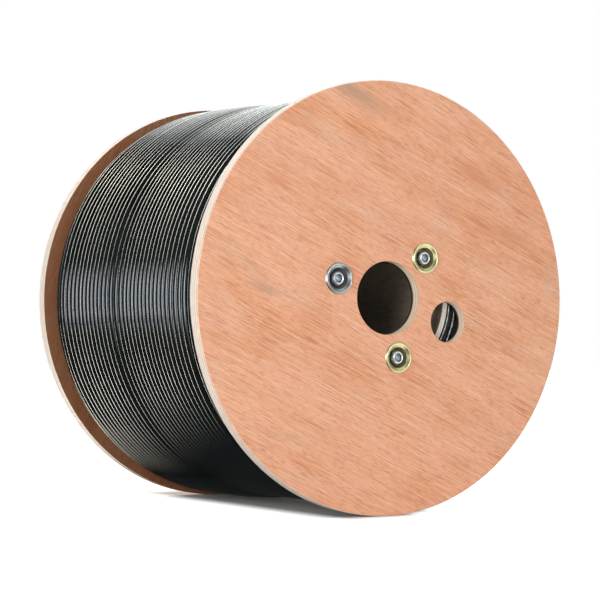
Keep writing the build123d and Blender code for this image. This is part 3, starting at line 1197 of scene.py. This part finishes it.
# %% A sheet that only reflections see
def show_to_reflections(name, points, level, code, soft=0.01, last_soft=0.01):
    """A glowing sheet from two rows of points, an array of steps by 2 by 3, that only mirrors see.

    Its glow fades towards both rows, over a share soft of the way between them, and towards the last step,
    over a share last_soft of the way from the first.
    """
    steps = len(points)
    strips = [[2 * i, 2 * i + 1, 2 * i + 3, 2 * i + 2] for i in range(steps - 1)]
    mesh = bpy.data.meshes.new(name)
    mesh.from_pydata(points.reshape(-1, 3).tolist(), [], strips)
    across = mesh.attributes.new("across", "FLOAT", "POINT")
    across.data.foreach_set("value", np.tile([0.0, 1.0], steps))
    along = mesh.attributes.new("along", "FLOAT", "POINT")
    along.data.foreach_set("value", np.repeat(np.linspace(0, 1, steps), 2))
    cloth, tree = new_material(name)
    share = add(tree, "ShaderNodeAttribute", attribute_name="across")
    inset = add(tree, "ShaderNodeMath", {0: share.outputs["Fac"], 1: 0.5}, operation="PINGPONG")
    way = add(tree, "ShaderNodeAttribute", attribute_name="along")
    to_end = {"Value": way.outputs["Fac"], "From Min": 1.0, "From Max": 1.0 - last_soft, "To Max": level}
    full = add(tree, "ShaderNodeMapRange", to_end, interpolation_type="SMOOTHSTEP")
    to_rows = {"Value": inset.outputs[0], "From Max": soft, "To Max": full.outputs[0]}
    strength = add(tree, "ShaderNodeMapRange", to_rows, interpolation_type="SMOOTHSTEP")
    glow = add(tree, "ShaderNodeEmission", {"Color": tint(code), "Strength": strength.outputs[0]})
    add(tree, "ShaderNodeOutputMaterial", {"Surface": glow.outputs[0]})
    mesh.materials.append(cloth)
    sheet = bpy.data.objects.new(name, mesh)
    sheet.visible_camera = False
    sheet.visible_diffuse = False
    sheet.visible_transmission = False
    sheet.visible_shadow = False
    scene.collection.objects.link(sheet)


# %% Shapes of sheets
ARCH_RADIUS = 2.4
WALL_STEPS = 25


def arch(centre, reach, front, back):
    """An arched wall round the drum's axis: angle in degrees one way, place along the axis the other."""
    angle = np.radians(np.linspace(centre - reach, centre + reach, WALL_STEPS))[:, None]
    ways = (ARCH_RADIUS * np.cos(angle), np.array([front, back]), ARCH_RADIUS * np.sin(angle))
    return np.stack(np.broadcast_arrays(*ways), axis=-1)


def curved_wall(centre, reach, distance, low, high):
    """An upright wall on a circle about Z: angle in degrees one way, height the other."""
    angle = np.radians(np.linspace(centre - reach, centre + reach, WALL_STEPS))[:, None]
    ways = (distance * np.cos(angle), distance * np.sin(angle), np.array([low, high]))
    return np.stack(np.broadcast_arrays(*ways), axis=-1)


def level_sheet(front_edge, back_edge, height):
    """A level sheet between two edges, each given as left, right and place along the axis."""
    edges = [[[x, y, height] for x in (left, right)] for left, right, y in (front_edge, back_edge)]
    return np.array(edges).transpose(1, 0, 2)


# %% Flags and panels for the reflections
WARM_WHITE = "#FFF9EA"
COOL_WHITE = "#F4F8F4"
CLOTH_BLUE = "#E4F0FF"
# How strongly the panels behind and beside the drum glow, where 1 is white
BRIGHT = 9.0
DIM = 3.6

flag_height = MM - drum_radius
panel_height = flag_height + MM
flag_left = arch(155, reach=50, front=-4.5, back=5.0)
flag_right = arch(10, reach=35, front=-1.2, back=2.2)
flag_floor = level_sheet((-2.4, 0.0, -0.6), (-2.4, 0.0, 3.0), flag_height)
softbox_cloth = curved_wall(207, reach=10, distance=0.9, low=-0.2, high=0.25)
panel_floor = level_sheet((-0.17, -0.085, 0.0), (-0.82, -0.2, 3.1), panel_height)
panel_back = curved_wall(92, reach=9, distance=3.2, low=-drum_radius, high=2.2)
panel_right = curved_wall(58, reach=14, distance=3.2, low=-drum_radius, high=2.2)
panel_top = level_sheet((-0.3, 2.6, 0.3), (-0.3, 2.6, 3.0), height=2.2)
panel_front = curved_wall(273, reach=6, distance=2.6, low=0.15, high=0.75)
show_to_reflections("flag_left", flag_left, level=0.13, code=WHITE)
show_to_reflections("flag_right", flag_right, level=0.06, code=WHITE)
show_to_reflections("flag_floor", flag_floor, level=0.05, code=WHITE)
show_to_reflections("softbox_cloth", softbox_cloth, level=14.0, code=CLOTH_BLUE, soft=0.4)
show_to_reflections("panel_floor", panel_floor, BRIGHT, WARM_WHITE, soft=0.16, last_soft=0.55)
show_to_reflections("panel_back", panel_back, BRIGHT, WARM_WHITE)
show_to_reflections("panel_right", panel_right, DIM, COOL_WHITE)
show_to_reflections("panel_top", panel_top, DIM, COOL_WHITE)
show_to_reflections("panel_front", panel_front, level=20.0, code=WHITE)
print("flags at", ARCH_RADIUS, "m")

# %% [markdown]
# ## Finish
# Colours are shown as they are written, so the view transform is the plain one.

# %% Set the view transform
scene.view_settings.view_transform = "Standard"
bpy.context.view_layer.update()
